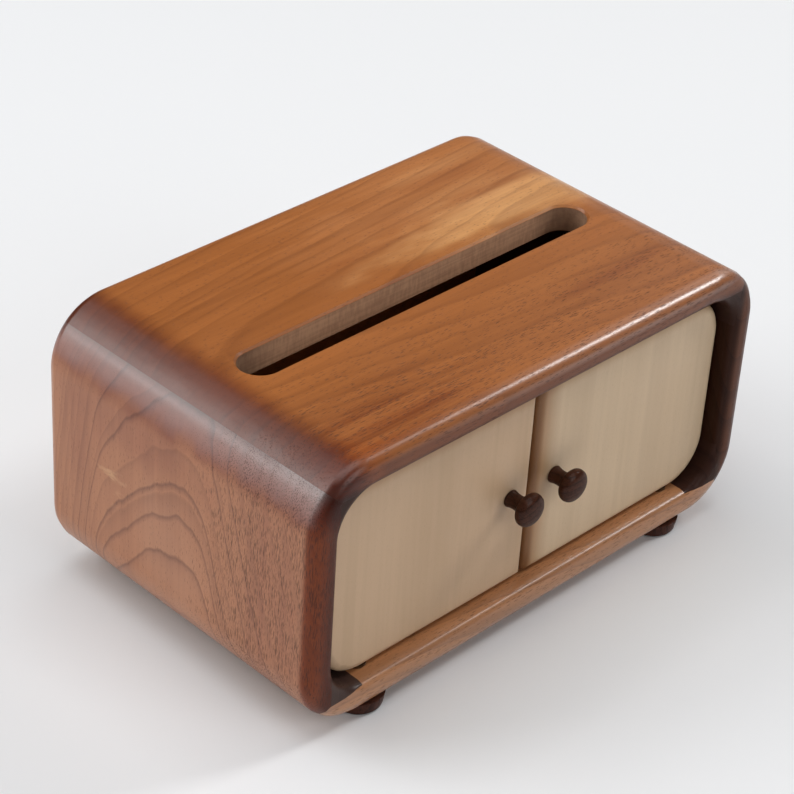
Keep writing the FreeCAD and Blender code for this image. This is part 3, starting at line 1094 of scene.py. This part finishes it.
@dataclass(frozen=True)
class Foot:
    """Turned disc with a softened sole."""

    radius: float = 9.8
    height: float = 5.5
    taper: float = 0.9
    sole_edge: float = 1.2
    top_edge: float = 0.25

    def build(self, node: str, material: bpy.types.Material) -> None:
        """Turn the foot that stands for a node."""
        low, middle, _ = middle_of(node)
        outline = [Station(0.0, 0.0), Station(self.radius - self.taper, 0.0, self.sole_edge),
                   Station(self.radius, self.height, self.top_edge), Station(0.0, self.height)]
        Turning(node, "case", outline, Vector((middle.x, middle.y, low.z)), Vector((0.0, 0.0, 1.0)),
                steps=64).make(material)


@dataclass(frozen=True)
class Door:
    """One maple door with its knob, screw, pins, washer and magnets."""

    side: Side
    finish: Maple
    knob_outline: tuple[tuple[float, float], ...] = (
        (0.0, 0.0), (3.5, 0.0), (3.42, 0.5), (3.0, 2.2), (2.9, 3.8), (3.1, 5.2), (3.6, 6.4), (5.0, 7.1),
        (6.35, 7.9), (6.72, 9.3), (6.35, 10.8), (5.0, 11.85), (3.0, 12.42), (1.2, 12.57), (0.0, 12.59))

    def turn_knob(self, material: bpy.types.Material) -> None:
        """Turn the knob, a waisted stem under a mushroom head, from the door to the front."""
        node = self.side.value + "_knob"
        _, middle, high = middle_of(node)
        outline = [Station(radius, along) for radius, along in self.knob_outline]
        Turning(node, self.side.value + "_leaf", outline, Vector((middle.x, high.y, middle.z)),
                Vector((0.0, -1.0, 0.0)), steps=32, smooth_levels=2).make(material)

    def build(self, wood: bpy.types.Material, metals: dict[str, bpy.types.Material]) -> None:
        """Make and dress the door's pieces.

        Args:
            wood: finish of the knob.
            metals: finish of each fitting, by the end of its node's name.
        """
        dress(self.side.value + "_door", self.finish.make())
        self.turn_knob(wood)
        for fitting, metal in metals.items():
            dress(f"{self.side.value}_{fitting}", metal)


# ---- Studio ----


@dataclass(frozen=True)
class Lamp:
    """A soft square lamp that faces the box: which way it stands, its side in metres, its watts."""

    title: str
    towards: Triple
    size: float
    watts: float
    distance: float = 2.4

    def hang(self, aim: Vector) -> None:
        """Hang the lamp so that it faces a point."""
        data = bpy.data.lights.new(self.title, "AREA")
        data.shape = "SQUARE"
        data.size = self.size
        data.energy = self.watts
        lamp = bpy.data.objects.new(self.title, data)
        bpy.context.scene.collection.objects.link(lamp)
        away = Vector(self.towards).normalized()
        lamp.location = aim + away * self.distance
        lamp.rotation_euler = away.to_track_quat("Z", "Y").to_euler()


@dataclass(frozen=True)
class Studio:
    """Pale floor, soft lamps and the camera, in metres and degrees."""

    floor_size: float = 14.0
    floor_colours: tuple[Colour, Colour] = ((0.858, 0.866, 0.878), (0.845, 0.855, 0.872))
    sky: float = 0.02
    lamps: tuple[Lamp, ...] = (
        Lamp("ceiling", (0.0, 0.05, 1.0), 2.0, 25.0),
        Lamp("window_top", (-0.20, 0.57, 0.80), 1.4, 9.0),
        Lamp("window", (-0.56, 0.57, 0.60), 1.4, 21.0),
        Lamp("window_foot", (-0.80, 0.57, 0.20), 1.2, 6.0),
        Lamp("side_fill", (-0.90, 0.0, 0.43), 1.4, 3.0),
        Lamp("camera_fill", (-0.55, -0.60, 0.58), 1.4, 2.0),
        Lamp("front_fill", (0.10, -0.85, 0.50), 1.4, 12.8),
        Lamp("far_window", (0.71, -0.285, 0.645), 0.45, 15.5),
        Lamp("right_fill", (0.85, 0.25, 0.45), 1.4, 5.5))
    azimuth: float = -46.92
    elevation: float = 34.12
    roll: float = 3.92
    distance: float = 0.9575
    sensor: float = 36.0
    focal_pixels: float = 2589.1
    frame_pixels: float = 794.0
    shift_pixels: tuple[float, float] = (-9.34, 8.0)
    aim: Triple = (0.0, 0.0032, 0.059)

    def floor(self) -> None:
        """Lay the floor."""
        mesh = bmesh.new()
        bmesh.ops.create_grid(mesh, x_segments=2, y_segments=2, size=self.floor_size / 2)
        data = bpy.data.meshes.new("studio_floor")
        mesh.to_mesh(data)
        mesh.free()
        piece = bpy.data.objects.new("studio_floor", data)
        bpy.context.scene.collection.objects.link(piece)
        surface = Surface("studio_floor")
        cloud = surface.graph.remap(surface.graph.noise(surface.metres, scale=2.0), 0.3, 0.7, smooth=False)
        surface.feed("Base Color", surface.graph.mix(cloud, *self.floor_colours))
        surface.fix({"Roughness": 0.75, "Specular IOR Level": 0.2})
        data.materials.append(surface.material)

    def lights(self) -> None:
        """Set the sky and hang the lamps."""
        world = bpy.data.worlds.new("studio_sky")
        world.use_nodes = True
        background = world.node_tree.nodes["Background"]
        background.inputs["Color"].default_value = (1.0, 1.0, 1.0, 1.0)
        background.inputs["Strength"].default_value = self.sky
        bpy.context.scene.world = world
        for lamp in self.lamps:
            lamp.hang(Vector(self.aim))

    def camera(self) -> None:
        """Place the camera."""
        turn, tilt, roll = (math.radians(x) for x in (self.azimuth, self.elevation, self.roll))
        back = Vector((math.sin(turn) * math.cos(tilt), -math.cos(turn) * math.cos(tilt), math.sin(tilt)))
        right = Vector((math.cos(turn), math.sin(turn), 0.0))
        up = back.cross(right)
        across = right * math.cos(roll) + up * math.sin(roll)
        upward = up * math.cos(roll) - right * math.sin(roll)
        data = bpy.data.cameras.new("camera")
        data.sensor_width = self.sensor
        data.lens = self.sensor * self.focal_pixels / self.frame_pixels
        data.shift_x, data.shift_y = (pixels / self.frame_pixels for pixels in self.shift_pixels)
        data.clip_start, data.clip_end = 0.05, 60.0
        camera = bpy.data.objects.new("camera", data)
        bpy.context.scene.collection.objects.link(camera)
        place = Vector(self.aim) + back * self.distance
        turned = Matrix((across, upward, back)).transposed().to_4x4()
        camera.matrix_world = Matrix.Translation(place) @ turned
        bpy.context.scene.camera = camera

    def build(self) -> None:
        """Set up the floor, the lamps, the camera and the view."""
        self.floor()
        self.lights()
        self.camera()
        bpy.context.scene.view_settings.view_transform = "Standard"


def build_doors() -> None:
    """Build both doors with their knobs and fittings."""
    wood = DarkWalnut("dark_walnut_knob", Grain.ALONG_Y).make()
    brass = Metal("brass", (0.80, 0.60, 0.28), (0.62, 0.43, 0.18)).make()
    # Painted shade: the pivot pins and washers are brass darkened to the shade they sit in under the doors.
    shaded_brass = Metal("shaded_brass", (0.15, 0.095, 0.05), (0.075, 0.048, 0.028), rough=0.45).make()
    nickel = Metal("nickel", (0.70, 0.69, 0.67), (0.55, 0.55, 0.55), rough=0.22).make()
    metals = {"knob_screw": brass, "upper_pivot_pin": shaded_brass, "lower_pivot_pin": shaded_brass,
              "pivot_washer": shaded_brass, "stop_magnet": nickel, "door_magnet": nickel}
    # Painted shade: both doors darken under the top rim, and the right door darkens along its meeting edge
    # where the left door shades it.
    shade_under_rim = (Fade("Z", 92.0, 98.5), (0.70, 0.58, 0.46))
    left = Maple("maple_left", (-60.0, 260.0, 0.0), (0.60, 0.408, 0.256), (0.50, 0.333, 0.198), (shade_under_rim,))
    right = Maple("maple_right", (40.0, 330.0, 0.0), (0.675, 0.50, 0.325), (0.57, 0.41, 0.26),
                  (shade_under_rim, (Fade("X", 13.0, 0.5), (0.60, 0.43, 0.30)),
                   (Fade("X", 4.6, 1.6), (0.62, 0.52, 0.42))))
    Door(Side.LEFT, left).build(wood, metals)
    Door(Side.RIGHT, right).build(wood, metals)


def build_feet() -> None:
    """Build the four feet."""
    wood = DarkWalnut("dark_walnut_foot", Grain.ALONG_Z, light=(0.085, 0.030, 0.019),
                      dark=(0.030, 0.011, 0.008), rough=0.4, gloss=0.1).make()
    for end in ("front", "back"):
        for side in Side:
            Foot().build(f"{end}_{side.value}_foot", wood)


def main() -> None:
    """Build the box and its studio."""
    logging.basicConfig(level=logging.INFO, format="%(message)s")
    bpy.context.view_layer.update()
    Case().build()
    build_doors()
    build_feet()
    Studio().build()


if __name__ == "__main__":
    main()
